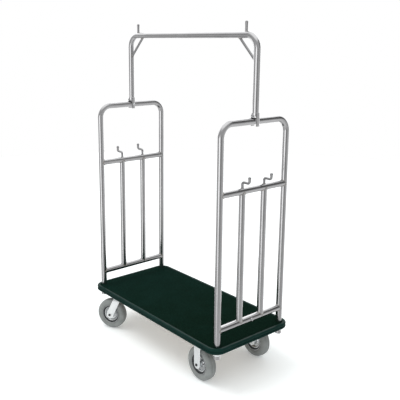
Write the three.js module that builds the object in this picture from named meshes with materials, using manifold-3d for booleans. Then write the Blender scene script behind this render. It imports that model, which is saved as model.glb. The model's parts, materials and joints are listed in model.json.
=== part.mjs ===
// Hotel luggage cart: a carpeted platform on two swivel casters and two rigid ones, a tubular hoop
// at each end with two slats and two coat hooks, and a hanging rail that bridges the two hoops.
// Millimetres. +Z is up, +X runs along the platform to the right-hand hoop, -Y is the front side.
// The origin is on the floor, under the middle of the platform.

import * as THREE from 'three';
import { mergeVertices } from 'three/addons/utils/BufferGeometryUtils.js';
import Module from 'manifold-3d';

const wasm = await Module();
wasm.setup();

// ---- clearances and facets ---------------------------------------------------------------------
const FIT_GAP = 1; // added to a round seat's corner radius, so its flats stay clear of the tube
const FACE_GAP = 0.3; // between faces that rest on each other
const TUBE_SIDES = 12;
const ROD_SIDES = 8;
const DISC_SIDES = 16;
const HEX_SIDES = 6;
const BEND_STEPS = 5;
const HOOK_BEND_STEPS = 3;
const TOE_STEPS = 4;
const CORNER_STEPS = 3;
const OVERRUN = 1; // how far a cutter runs past the faces it cuts

// ---- tubes and rods ----------------------------------------------------------------------------
const TUBE_R = 19.05; // 1 1/2 inch tube
const TUBE_BORE_R = 17.4;
const BEND_R = 76; // every tube bend, on the centreline
const ROD_R = 7.94; // 5/8 inch rod for hooks, pegs and gussets
const SEAT_R = TUBE_R + FIT_GAP;

// ---- platform ----------------------------------------------------------------------------------
const DECK_LENGTH = 1255; // over the bumper
const DECK_WIDTH = 623;
const DECK_CORNER_R = 70;
const BUMPER_THICK = 20;
const BUMPER_BOTTOM = 232.5;
const BUMPER_TOP = 266.5;
const BUMPER_ROUND_R = 9;
const BUMPER_ROUND_SIDES = 4;
const BUMPER_SEAM = 1; // butt joint, in the middle of the right-hand end
const BOARD_BOTTOM = 238;
const BOARD_THICK = 22;
const CARPET_THICK = 5.7;

// ---- end hoops ---------------------------------------------------------------------------------
const HOOP_X = 581;
const POST_Y = 254;
const POST_FOOT = 192; // the posts run on below the board
const HOOP_TOP = 1510;
const UPPER_BAR_Z = 1131;
const LOWER_BAR_Z = 359.5;
const SLAT_Y = 86;
const BUTTON_R = 9;
const BUTTON_REACH = 7;

// ---- coat hooks --------------------------------------------------------------------------------
const HOOK_ARM_Z = 1183;
const HOOK_REACH = 53;
const HOOK_TIP_Z = 1211;
const HOOK_BEND_R = 13;
const HOOK_BALL_R = 9.6;
const BALL_RINGS = 6;

// ---- hanging rail ------------------------------------------------------------------------------
const RAIL_Z = 1968;
const LEG_FOOT = 1548;
const GUSSET_SETBACK = 148; // from the rail's corner to each end of the gusset
const PEG_X = 497;
const PEG_TOP = 2043;
const PEG_BULB_R = 9.2;

// ---- saddles that stand the rail on the hoops ----------------------------------------------------
const SADDLE_R = 23.6;
const SADDLE_BOTTOM = 1482;
const SADDLE_TOP = 1556;
const SADDLE_ARCH_Z = 1527;
const SADDLE_SLOT = 19.55; // half the slot's width
const SCREW_R = 2.5;
const SCREW_HOLE_R = 3.2;
const SCREW_HEAD_R = 5;
const SCREW_HEAD_THICK = 2.8;
const SCREW_LENGTH = 9;

// ---- collars that hold the posts under the board --------------------------------------------------
const COLLAR_R = 22.2;
const COLLAR_BOTTOM = 214;

// ---- casters: two that swivel at the left, two rigid ones at the right ---------------------------
const TRAIL = 50; // from the swivel axis to the axle
const WHEEL_R = 101.6; // 8 inch wheel
const WHEEL_SIDES = 28;
const RIM_SIDES = 20;
const AXLE_R = 5;
const AXLE_HOLE_R = 5.9;
const LEG_INSIDE = 36;
const LEG_THICK = 5;
const LEG_TOE_R = 24.5;
const CROWN_HALF = 26.5;
const CROWN_BOTTOM = 211; // of a swivel fork
const CROWN_THICK = 5;
const CUP_R = 37;
const CUP_TOP = 222.6;
const RACE_R = 33;
const PLATE_LENGTH = 104;
const SWIVEL_PLATE_WIDTH = 76;
const RIGID_PLATE_WIDTH = 92;
const PLATE_CORNER_R = 10;
const PLATE_THICK = 4;
const KINGPIN_R = 6.2;
const KINGPIN_HOLE_R = 7.1;
const KINGPIN_HEAD_R = 12;
const KINGPIN_HEAD_BOTTOM = 205;
const HEX_R = 8.7;
const HEX_THICK = 6.5;
const BOLT_TAIL = 3;

// ---- wheel sections ----------------------------------------------------------------------------
const HUB_R = 17;
const HUB_HALF = 32.5;
const DISC_HALF = 6; // the pressed disc between the hub and the rim
const DISC_OUTER_R = 42;
const FLANGE_R = 62;
const FLANGE_INNER = 23.5;
const FLANGE_OUTER = 26.5;
const FLANGE_LIP = 4;
const WELL_R = 53;
const WELL_HALF = 8;
const WELL_EDGE_R = 56;
const WELL_EDGE = 19;
const DISH_R = 49;
const DISH_HALF = 17;
const TREAD_HALF = 9;
const SHOULDER_DROP = 4;
const SHOULDER_HALF = 20;
const WALL_DROP = 14;
const TYRE_HALF = 30;
const BEAD_RISE = 8;
const BEAD_HALF = 27;
const TOE_DROP = 6;
const TOE_HALF = 17.5;
const SEAT_HALF = 22;

// Where each caster's plate is bolted on, and for a swivel caster the angle from +X to its trailing
// wheel as the cart stands, in degrees. A rigid caster has its axle under the middle of its plate.
const CASTERS = {
  front_left: { x: -402.5, y: -252.5, swivels: true, angle: 208.5 },
  back_left: { x: -402.5, y: 252.5, swivels: true, angle: 151.5 },
  front_right: { x: 441, y: -240, swivels: false, angle: 0 },
  back_right: { x: 438, y: 212, swivels: false, angle: 0 },
};

// ---- materials ---------------------------------------------------------------------------------
const finish = (color, roughness, metalness) =>
  new THREE.MeshStandardMaterial({ color, roughness, metalness });
const STAINLESS = finish('#c8c8c6', 0.32, 1);
const ZINC = finish('#e2e4e4', 0.4, 1);
const CARPET = finish('#0e241f', 0.95, 0);
const BUMPER = finish('#12302b', 0.45, 0);
const PLYWOOD = finish('#9a7b52', 0.7, 0);
const TYRE = finish('#80847f', 0.75, 0);

// ---- solids ------------------------------------------------------------------------------------
function solidOf(geometry) {
  const bare = geometry.clone();
  bare.deleteAttribute('normal');
  bare.deleteAttribute('uv');
  const merged = mergeVertices(bare, 1e-4);
  const mesh = new wasm.Mesh({
    numProp: 3,
    vertProperties: new Float32Array(merged.attributes.position.array),
    triVerts: new Uint32Array(merged.index.array),
  });
  return new wasm.Manifold(mesh);
}

function geometryOf(solid) {
  const mesh = solid.getMesh();
  const geometry = new THREE.BufferGeometry();
  geometry.setAttribute('position', new THREE.BufferAttribute(mesh.vertProperties, mesh.numProp));
  geometry.setIndex(new THREE.BufferAttribute(mesh.triVerts, 1));
  geometry.computeVertexNormals();
  return geometry;
}

function cut(geometry, ...tools) {
  let solid = solidOf(geometry);
  for (const tool of tools) solid = solid.subtract(solidOf(tool));
  return geometryOf(solid);
}

function join(first, ...others) {
  let solid = solidOf(first);
  for (const other of others) solid = solid.add(solidOf(other));
  return geometryOf(solid);
}

const at = (x, y, z) => new THREE.Vector3(x, y, z);

// A closed outline: a ring when bore is given, a disc otherwise.
function roundShape(radius, bore = 0) {
  const shape = new THREE.Shape().absarc(0, 0, radius, 0, Math.PI * 2, false);
  if (bore > 0) shape.holes.push(new THREE.Path().absarc(0, 0, bore, 0, Math.PI * 2, true));
  return shape;
}

// A straight round bar or tube between two points.
function bar(from, to, radius, bore = 0, sides = TUBE_SIDES) {
  const along = to.clone().sub(from);
  const geometry = new THREE.ExtrudeGeometry(roundShape(radius, bore), {
    depth: along.length(),
    bevelEnabled: false,
    curveSegments: sides / 2,
  });
  const turn = new THREE.Quaternion().setFromUnitVectors(at(0, 0, 1), along.normalize());
  return geometry.applyQuaternion(turn).translate(from.x, from.y, from.z);
}

// A route of straight runs joined by arcs: one station at each end of a run and along each arc.
class BentRoute extends THREE.Curve {
  constructor(corners, radius, steps) {
    super();
    const first = corners[1].clone().sub(corners[0]).normalize();
    this.stations = [{ point: corners[0], tangent: first }];
    for (let i = 1; i < corners.length - 1; i += 1) {
      this.addArc(corners[i - 1], corners[i], corners[i + 1], radius, steps);
    }
    const end = corners[corners.length - 1];
    const last = end.clone().sub(corners[corners.length - 2]).normalize();
    this.stations.push({ point: end, tangent: last });
  }

  addArc(before, corner, after, radius, steps) {
    const into = corner.clone().sub(before).normalize();
    const out = after.clone().sub(corner).normalize();
    const sweep = into.angleTo(out);
    const side = out.clone().addScaledVector(into, -out.dot(into)).normalize();
    const start = corner.clone().addScaledVector(into, -radius * Math.tan(sweep / 2));
    for (let step = 0; step <= steps; step += 1) {
      const turned = (sweep * step) / steps;
      const point = start.clone();
      point.addScaledVector(into, radius * Math.sin(turned));
      point.addScaledVector(side, radius * (1 - Math.cos(turned)));
      const tangent = into.clone().multiplyScalar(Math.cos(turned));
      tangent.addScaledVector(side, Math.sin(turned));
      this.stations.push({ point, tangent });
    }
  }

  station(t) {
    return this.stations[Math.round(t * (this.stations.length - 1))];
  }

  getPoint(t) {
    return this.station(t).point.clone();
  }

  getTangent(t) {
    return this.station(t).tangent.clone();
  }

  getUtoTmapping(u) {
    return u;
  }

  get steps() {
    return this.stations.length - 1;
  }
}

const tubeAlong = (route) => sweep(roundShape(TUBE_R, TUBE_BORE_R), route, TUBE_SIDES);

function sweep(shape, route, sides) {
  return new THREE.ExtrudeGeometry(shape, {
    extrudePath: route,
    steps: route.steps,
    curveSegments: sides / 2,
  });
}

function roundedRectangle(length, width, radius) {
  const x = length / 2 - radius;
  const y = width / 2 - radius;
  const shape = new THREE.Shape();
  shape.absarc(x, -y, radius, -Math.PI / 2, 0, false);
  shape.absarc(x, y, radius, 0, Math.PI / 2, false);
  shape.absarc(-x, y, radius, Math.PI / 2, Math.PI, false);
  shape.absarc(-x, -y, radius, Math.PI, Math.PI * 1.5, false);
  shape.closePath();
  return shape;
}

function slab(shape, bottom, thickness) {
  const options = { depth: thickness, bevelEnabled: false, curveSegments: CORNER_STEPS };
  return new THREE.ExtrudeGeometry(shape, options).translate(0, 0, bottom);
}

// A body turned about Z from [radius, height] points.
function turned(points, sides) {
  const profile = points.map(([radius, height]) => new THREE.Vector2(radius, height));
  return new THREE.LatheGeometry(profile, sides);
}

const cart = new THREE.Group();

function place(name, geometry, material, parent = cart) {
  const mesh = new THREE.Mesh(geometry, material);
  mesh.name = name;
  parent.add(mesh);
  return mesh;
}

const ENDS = { left: -1, right: 1 };
const SIDES = { front: -1, back: 1 };

// ---- platform ----------------------------------------------------------------------------------
// A layer of the platform, with a hole for each post.
function deckLayer(bottom, thickness) {
  const inset = BUMPER_THICK + FACE_GAP;
  const radius = DECK_CORNER_R - inset;
  const shape = roundedRectangle(DECK_LENGTH - 2 * inset, DECK_WIDTH - 2 * inset, radius);
  const seats = [];
  for (const end of Object.values(ENDS)) {
    for (const side of Object.values(SIDES)) seats.push(postSeat(end * HOOP_X, side * POST_Y));
  }
  return cut(slab(shape, bottom, thickness), ...seats);
}

// The bumper's section on a route along its inner face: first axis down, second axis inwards.
function bumperShape() {
  const shape = new THREE.Shape();
  const round = BUMPER_ROUND_R;
  const outer = round - BUMPER_THICK;
  shape.moveTo(-BUMPER_TOP, 0);
  shape.absarc(round - BUMPER_TOP, outer, round, Math.PI, Math.PI * 1.5, false);
  shape.absarc(-round - BUMPER_BOTTOM, outer, round, Math.PI * 1.5, Math.PI * 2, false);
  shape.lineTo(-BUMPER_BOTTOM, 0);
  shape.closePath();
  return shape;
}

function bumperGeometry() {
  const x = DECK_LENGTH / 2 - BUMPER_THICK;
  const y = DECK_WIDTH / 2 - BUMPER_THICK;
  const corners = [
    at(x, BUMPER_SEAM / 2, 0),
    at(x, y, 0),
    at(-x, y, 0),
    at(-x, -y, 0),
    at(x, -y, 0),
    at(x, -BUMPER_SEAM / 2, 0),
  ];
  const route = new BentRoute(corners, DECK_CORNER_R - BUMPER_THICK, BEND_STEPS);
  return sweep(bumperShape(), route, BUMPER_ROUND_SIDES);
}

function addDeck() {
  const boardTop = BOARD_BOTTOM + BOARD_THICK;
  place('deck_board', deckLayer(BOARD_BOTTOM, BOARD_THICK), PLYWOOD);
  place('deck_carpet', deckLayer(boardTop + FACE_GAP, CARPET_THICK), CARPET);
  place('deck_bumper', bumperGeometry(), BUMPER);
}

// ---- end hoops ---------------------------------------------------------------------------------
// A cutter the size of a tube's seat, for coping whatever meets that tube.
const barSeatAlongY = (x, z) => bar(at(x, -POST_Y, z), at(x, POST_Y, z), SEAT_R);
const postSeat = (x, y) => bar(at(x, y, POST_FOOT), at(x, y, HOOP_TOP), SEAT_R);

function hoopGeometry(end) {
  const x = end * HOOP_X;
  const corners = [
    at(x, -POST_Y, POST_FOOT),
    at(x, -POST_Y, HOOP_TOP),
    at(x, POST_Y, HOOP_TOP),
    at(x, POST_Y, POST_FOOT),
  ];
  return cut(tubeAlong(new BentRoute(corners, BEND_R, BEND_STEPS)), screwHole(end));
}

function crossbarGeometry(end, height) {
  const x = end * HOOP_X;
  const tube = bar(at(x, -POST_Y, height), at(x, POST_Y, height), TUBE_R, TUBE_BORE_R);
  return cut(tube, postSeat(x, -POST_Y), postSeat(x, POST_Y));
}

function slatGeometry(end, side) {
  const x = end * HOOP_X;
  const y = side * SLAT_Y;
  const tube = bar(at(x, y, LOWER_BAR_Z), at(x, y, UPPER_BAR_Z), TUBE_R, TUBE_BORE_R);
  return cut(tube, barSeatAlongY(x, LOWER_BAR_Z), barSeatAlongY(x, UPPER_BAR_Z));
}

// A rod that rises from the crossbar, steps outwards away from the platform and turns up to a ball.
function hookGeometry(end, side) {
  const x = end * HOOP_X;
  const y = side * SLAT_Y;
  const tip = x + end * HOOK_REACH;
  const corners = [
    at(x, y, UPPER_BAR_Z),
    at(x, y, HOOK_ARM_Z),
    at(tip, y, HOOK_ARM_Z),
    at(tip, y, HOOK_TIP_Z),
  ];
  const route = new BentRoute(corners, HOOK_BEND_R, HOOK_BEND_STEPS);
  const rod = sweep(roundShape(ROD_R), route, ROD_SIDES);
  const ball = new THREE.SphereGeometry(HOOK_BALL_R, ROD_SIDES, BALL_RINGS);
  ball.translate(tip, y, HOOK_TIP_Z);
  return cut(join(rod, ball), barSeatAlongY(x, UPPER_BAR_Z));
}

// A round plug on the outer face of the lower crossbar, halfway along.
function buttonGeometry(end) {
  const x = end * HOOP_X;
  const reach = x + end * (TUBE_R + BUTTON_REACH);
  const plug = bar(at(x, 0, LOWER_BAR_Z), at(reach, 0, LOWER_BAR_Z), BUTTON_R);
  return cut(plug, barSeatAlongY(x, LOWER_BAR_Z));
}

function addEndFrame(endName, end) {
  place(`${endName}_hoop`, hoopGeometry(end), STAINLESS);
  place(`${endName}_upper_crossbar`, crossbarGeometry(end, UPPER_BAR_Z), STAINLESS);
  place(`${endName}_lower_crossbar`, crossbarGeometry(end, LOWER_BAR_Z), STAINLESS);
  place(`${endName}_crossbar_button`, buttonGeometry(end), STAINLESS);
  for (const [sideName, side] of Object.entries(SIDES)) {
    place(`${endName}_slat_${sideName}`, slatGeometry(end, side), STAINLESS);
    place(`${endName}_coat_hook_${sideName}`, hookGeometry(end, side), STAINLESS);
  }
}

// ---- hanging rail ------------------------------------------------------------------------------
const railSeat = () => bar(at(-HOOP_X, 0, RAIL_Z), at(HOOP_X, 0, RAIL_Z), SEAT_R);
const legSeat = (end) => bar(at(end * HOOP_X, 0, LEG_FOOT), at(end * HOOP_X, 0, RAIL_Z), SEAT_R);

function railGeometry() {
  const corners = [
    at(-HOOP_X, 0, LEG_FOOT),
    at(-HOOP_X, 0, RAIL_Z),
    at(HOOP_X, 0, RAIL_Z),
    at(HOOP_X, 0, LEG_FOOT),
  ];
  return tubeAlong(new BentRoute(corners, BEND_R, BEND_STEPS));
}

function gussetGeometry(end) {
  const onRail = at(end * (HOOP_X - GUSSET_SETBACK), 0, RAIL_Z);
  const onLeg = at(end * HOOP_X, 0, RAIL_Z - GUSSET_SETBACK);
  return cut(bar(onRail, onLeg, ROD_R, 0, ROD_SIDES), railSeat(), legSeat(end));
}

function pegGeometry(end) {
  const neck = PEG_TOP - 3 * PEG_BULB_R;
  const points = [
    [0, RAIL_Z],
    [ROD_R, RAIL_Z],
    [ROD_R, neck],
    [PEG_BULB_R, PEG_TOP - PEG_BULB_R],
    [PEG_BULB_R * Math.SQRT1_2, PEG_TOP - PEG_BULB_R * (1 - Math.SQRT1_2)],
    [0, PEG_TOP],
  ];
  const peg = turned(points, TUBE_SIDES).rotateX(Math.PI / 2).translate(end * PEG_X, 0, 0);
  return cut(peg, railSeat());
}

// ---- saddles -----------------------------------------------------------------------------------
// The screw goes in from the platform side, through the saddle's ear and the hoop's wall.
function screwAxis(end, radius, reach) {
  const outside = end * (HOOP_X - SADDLE_R - reach);
  const inside = end * (HOOP_X - SADDLE_R + SCREW_LENGTH);
  return bar(at(outside, 0, HOOP_TOP), at(inside, 0, HOOP_TOP), radius, 0, ROD_SIDES);
}

const screwHole = (end) => screwAxis(end, SCREW_HOLE_R, OVERRUN);

function saddleGeometry(end) {
  const x = end * HOOP_X;
  const sleeve = bar(at(x, 0, SADDLE_BOTTOM), at(x, 0, SADDLE_TOP), SADDLE_R, SEAT_R, DISC_SIDES);
  const slotHeight = SADDLE_ARCH_Z - SADDLE_BOTTOM + OVERRUN;
  const slot = new THREE.BoxGeometry(2 * SADDLE_SLOT, 3 * SADDLE_R, slotHeight);
  slot.translate(x, 0, SADDLE_ARCH_Z - slotHeight / 2);
  const archEnd = 1.5 * SADDLE_R;
  const arch = bar(at(x, -archEnd, SADDLE_ARCH_Z), at(x, archEnd, SADDLE_ARCH_Z), SADDLE_SLOT);
  return cut(sleeve, slot, arch, screwHole(end));
}

function screwGeometry(end) {
  const face = end * (HOOP_X - SADDLE_R - FACE_GAP);
  const crown = end * (HOOP_X - SADDLE_R - FACE_GAP - SCREW_HEAD_THICK);
  const head = bar(at(crown, 0, HOOP_TOP), at(face, 0, HOOP_TOP), SCREW_HEAD_R, 0, ROD_SIDES);
  return join(head, screwAxis(end, SCREW_R, SCREW_HEAD_THICK / 2));
}

function addRail() {
  place('hanging_rail', railGeometry(), STAINLESS);
  for (const [endName, end] of Object.entries(ENDS)) {
    place(`${endName}_gusset`, gussetGeometry(end), STAINLESS);
    place(`${endName}_peg`, pegGeometry(end), STAINLESS);
    place(`${endName}_saddle`, saddleGeometry(end), STAINLESS);
    place(`${endName}_saddle_screw`, screwGeometry(end), ZINC);
  }
}

// ---- post collars ------------------------------------------------------------------------------
function collarGeometry() {
  const bottom = at(0, 0, COLLAR_BOTTOM);
  return bar(bottom, at(0, 0, BOARD_BOTTOM - FACE_GAP), COLLAR_R, SEAT_R);
}

function addCollars() {
  for (const [endName, end] of Object.entries(ENDS)) {
    for (const [sideName, side] of Object.entries(SIDES)) {
      const collar = place(`${endName}_post_collar_${sideName}`, collarGeometry(), ZINC);
      collar.position.set(end * HOOP_X, side * POST_Y, 0);
    }
  }
}

// ---- casters, each in a frame whose +X points from the plate's middle to the wheel ---------------
const PLATE_TOP = BOARD_BOTTOM - FACE_GAP;
const PLATE_BOTTOM = PLATE_TOP - PLATE_THICK;
const LEG_OUTSIDE = LEG_INSIDE + LEG_THICK;
const HEAD_FACE = LEG_OUTSIDE + FACE_GAP;

const pinHole = (bottom, top) => {
  return bar(at(0, 0, bottom - OVERRUN), at(0, 0, top + OVERRUN), KINGPIN_HOLE_R);
};

const flatPlate = (width) => {
  return slab(roundedRectangle(PLATE_LENGTH, width, PLATE_CORNER_R), PLATE_BOTTOM, PLATE_THICK);
};

function swivelPlateGeometry() {
  const raceBottom = CUP_TOP + FACE_GAP;
  const raceTop = PLATE_BOTTOM + PLATE_THICK / 2;
  const race = bar(at(0, 0, raceBottom), at(0, 0, raceTop), RACE_R, 0, DISC_SIDES);
  return cut(join(flatPlate(SWIVEL_PLATE_WIDTH), race), pinHole(raceBottom, PLATE_TOP));
}

function kingpinGeometry() {
  const headTop = CROWN_BOTTOM - FACE_GAP;
  const points = [
    [0, KINGPIN_HEAD_BOTTOM],
    [KINGPIN_HEAD_R, KINGPIN_HEAD_BOTTOM],
    [KINGPIN_HEAD_R, headTop],
    [KINGPIN_R, headTop],
    [KINGPIN_R, PLATE_TOP],
    [0, PLATE_TOP],
  ];
  return turned(points, TUBE_SIDES).rotateX(Math.PI / 2);
}

// Where the line from a point touches the fork leg's rounded toe, as an angle about the axle.
function touchAngle(x, z, side) {
  return Math.atan2(z, x) + side * Math.acos(LEG_TOE_R / Math.hypot(x, z));
}

// One leg of a fork, from its outer end on the crown down to the rounded toe on the axle.
function legGeometry(inside, trail, top) {
  const rise = top - WHEEL_R;
  const trailing = touchAngle(CROWN_HALF - trail, rise, -1);
  const leading = touchAngle(-CROWN_HALF - trail, rise, 1) - 2 * Math.PI;
  const shape = new THREE.Shape();
  shape.moveTo(-CROWN_HALF, top);
  shape.lineTo(CROWN_HALF, top);
  shape.absarc(trail, WHEEL_R, LEG_TOE_R, trailing, leading, true);
  shape.closePath();
  const options = { depth: LEG_THICK, bevelEnabled: false, curveSegments: TOE_STEPS };
  const leg = new THREE.ExtrudeGeometry(shape, options).rotateX(Math.PI / 2);
  return leg.translate(0, inside + LEG_THICK, 0);
}

// The crown and both legs, bored for the axle.
function yoke(trail, crownBottom) {
  const top = crownBottom + CROWN_THICK;
  const crown = new THREE.BoxGeometry(2 * CROWN_HALF, 2 * LEG_OUTSIDE, CROWN_THICK);
  crown.translate(0, 0, top - CROWN_THICK / 2);
  const legs = [legGeometry(LEG_INSIDE, trail, top), legGeometry(-LEG_OUTSIDE, trail, top)];
  const past = LEG_OUTSIDE + OVERRUN;
  const axleHole = bar(at(trail, -past, WHEEL_R), at(trail, past, WHEEL_R), AXLE_HOLE_R);
  return cut(join(crown, ...legs), axleHole);
}

function swivelForkGeometry() {
  const cup = bar(at(0, 0, CROWN_BOTTOM), at(0, 0, CUP_TOP), CUP_R, 0, DISC_SIDES);
  return cut(join(yoke(TRAIL, CROWN_BOTTOM), cup), pinHole(CROWN_BOTTOM, CUP_TOP));
}

const rigidForkGeometry = () => yoke(0, PLATE_BOTTOM - FACE_GAP - CROWN_THICK);

// The axle's parts and the wheel's are made about the axle's middle.
function axleBoltGeometry() {
  const crown = HEAD_FACE + HEX_THICK;
  const head = bar(at(0, HEAD_FACE, 0), at(0, crown, 0), HEX_R, 0, HEX_SIDES);
  const shank = bar(at(0, -crown - BOLT_TAIL, 0), at(0, HEAD_FACE + HEX_THICK / 2, 0), AXLE_R);
  return join(head, shank);
}

function axleNutGeometry() {
  const outer = -(HEAD_FACE + HEX_THICK);
  const body = bar(at(0, outer, 0), at(0, -HEAD_FACE, 0), HEX_R, 0, HEX_SIDES);
  return cut(body, bar(at(0, outer - OVERRUN, 0), at(0, OVERRUN - HEAD_FACE, 0), AXLE_HOLE_R));
}

// Half of a wheel section, from the outside in to the bore, is mirrored to give the whole.
function wheelSection(half, sides) {
  const mirrored = half.map(([radius, width]) => [radius, -width]).reverse();
  const points = [...half, ...mirrored, half[0]];
  const profile = points.map(([radius, width]) => new THREE.Vector2(radius, width));
  return new THREE.LatheGeometry(profile, sides, Math.PI / sides);
}

function rimGeometry() {
  const half = [
    [WELL_R, WELL_HALF],
    [WELL_EDGE_R, WELL_EDGE],
    [FLANGE_R, FLANGE_INNER],
    [FLANGE_R, FLANGE_OUTER],
    [FLANGE_R - FLANGE_LIP, FLANGE_OUTER],
    [DISH_R, DISH_HALF],
    [DISC_OUTER_R, DISC_HALF],
    [HUB_R, DISC_HALF],
    [HUB_R, HUB_HALF],
    [AXLE_HOLE_R, HUB_HALF],
  ];
  return wheelSection(half, RIM_SIDES);
}

function tyreGeometry() {
  const tread = WHEEL_R / Math.cos(Math.PI / WHEEL_SIDES); // flats touch the floor
  const seat = FLANGE_R + FIT_GAP;
  const half = [
    [tread, TREAD_HALF],
    [tread - SHOULDER_DROP, SHOULDER_HALF],
    [tread - WALL_DROP, TYRE_HALF],
    [seat + BEAD_RISE, TYRE_HALF],
    [seat, BEAD_HALF],
    [seat, SEAT_HALF],
    [seat - TOE_DROP, TOE_HALF],
  ];
  return wheelSection(half, WHEEL_SIDES);
}

function addCaster(name, { x, y, swivels, angle }) {
  const caster = new THREE.Group();
  caster.position.set(x, y, 0);
  caster.rotation.z = THREE.MathUtils.degToRad(angle);
  cart.add(caster);
  const axle = new THREE.Group();
  axle.position.set(swivels ? TRAIL : 0, 0, WHEEL_R);
  caster.add(axle);
  const plateGeometry = swivels ? swivelPlateGeometry() : flatPlate(RIGID_PLATE_WIDTH);
  place(`${name}_caster_plate`, plateGeometry, ZINC).position.set(x, y, 0);
  const forkGeometry = swivels ? swivelForkGeometry() : rigidForkGeometry();
  place(`${name}_caster_fork`, forkGeometry, ZINC, caster);
  if (swivels) place(`${name}_caster_kingpin`, kingpinGeometry(), ZINC).position.set(x, y, 0);
  place(`${name}_axle_bolt`, axleBoltGeometry(), ZINC, axle);
  place(`${name}_axle_nut`, axleNutGeometry(), ZINC, axle);
  place(`${name}_wheel_rim`, rimGeometry(), ZINC, axle);
  place(`${name}_tyre`, tyreGeometry(), TYRE, axle);
}

addDeck();
addEndFrame('left', ENDS.left);
addEndFrame('right', ENDS.right);
addRail();
addCollars();
for (const [name, spot] of Object.entries(CASTERS)) addCaster(name, spot);

export default cart;
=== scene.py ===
# Looks of the hotel luggage cart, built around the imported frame.
# Metres. +Z is up, +X runs along the platform to the right-hand hoop, -Y is the front side.

import json
import math

import bmesh
import bpy
import numpy as np
from mathutils import Matrix, Vector, noise


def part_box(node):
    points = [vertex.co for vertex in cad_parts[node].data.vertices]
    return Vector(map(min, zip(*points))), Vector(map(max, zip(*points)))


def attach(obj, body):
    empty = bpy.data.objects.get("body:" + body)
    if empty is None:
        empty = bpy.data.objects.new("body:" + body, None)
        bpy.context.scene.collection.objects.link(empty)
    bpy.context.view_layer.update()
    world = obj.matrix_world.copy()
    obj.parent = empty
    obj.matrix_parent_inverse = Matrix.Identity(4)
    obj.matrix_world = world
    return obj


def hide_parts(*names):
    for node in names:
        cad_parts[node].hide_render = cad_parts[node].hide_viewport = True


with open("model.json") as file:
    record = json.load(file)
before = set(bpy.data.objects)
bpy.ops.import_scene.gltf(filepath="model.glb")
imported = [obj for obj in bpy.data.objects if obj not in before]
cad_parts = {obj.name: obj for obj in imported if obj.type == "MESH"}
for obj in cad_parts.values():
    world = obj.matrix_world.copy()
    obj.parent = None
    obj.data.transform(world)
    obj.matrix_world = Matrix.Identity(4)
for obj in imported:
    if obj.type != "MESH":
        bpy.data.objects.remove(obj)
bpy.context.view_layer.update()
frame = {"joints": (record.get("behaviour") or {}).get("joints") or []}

MM = 0.001
TURN = 2 * math.pi

# ---- driving dimensions that the nodes' boxes don't give
TUBE_SIDES = 48
ROD_SIDES = 32
BEND_STEPS = 20
BALL_STEPS = 16
ARCH_STEPS = 32
RIB_STEPS = 14
TOE_STEPS = 24
SHOULDER_STEPS = 10
FORK_COLUMNS = 28
WELD_SIDES = 10
TYRE_NOTCHES = 48
TUBE_WALL = 1.6 * MM
TUBE_BEND_R = 76 * MM
TUBE_LIP = 0.4 * MM
HOOK_ROD_R = 7.94 * MM
HOOK_BEND_R = 13 * MM
HOOK_RISE = 28 * MM  # from the hook's arm to the middle of its ball
GUSSET_REACH = 148 * MM
SADDLE_SLOT = 19.4 * MM
SADDLE_ARCH_Z = 1527 * MM
WELD_R = 2.0 * MM
ROD_WELD_R = 1.4 * MM
GUSSET_WELD_R = 1.5 * MM
WELD_RIPPLE = 2.6 * MM
DECK_CORNER_R = 70 * MM
BUMPER_THICK = 20 * MM
PILE_PITCH = 3.2 * MM
PILE_DEPTH = 1.1 * MM
WHEEL_SIDES = 192
LEG_THICK = 5 * MM
LEG_TOE_R = 24.5 * MM
FORK_SHOULDER_R = 13 * MM

ENDS = {"left": -1, "right": 1}
SIDES = {"front": -1, "back": 1}
CASTERS = ("front_left", "back_left", "front_right", "back_right")

X = np.array((1.0, 0.0, 0.0))
Y = np.array((0.0, 1.0, 0.0))
Z = np.array((0.0, 0.0, 1.0))


def vec(x, y, z):
    return np.array((x, y, z), float)


def unit(v):
    return v / np.linalg.norm(v)


def box(node):
    low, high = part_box(node)
    return np.array(low), np.array(high)


def shift(x, y, z):
    return Matrix.Translation(Vector((x, y, z)))


def spin(angle, axis="Z"):
    return Matrix.Rotation(angle, 4, axis)


def middle(node):
    low, high = box(node)
    return (low + high) / 2


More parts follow.
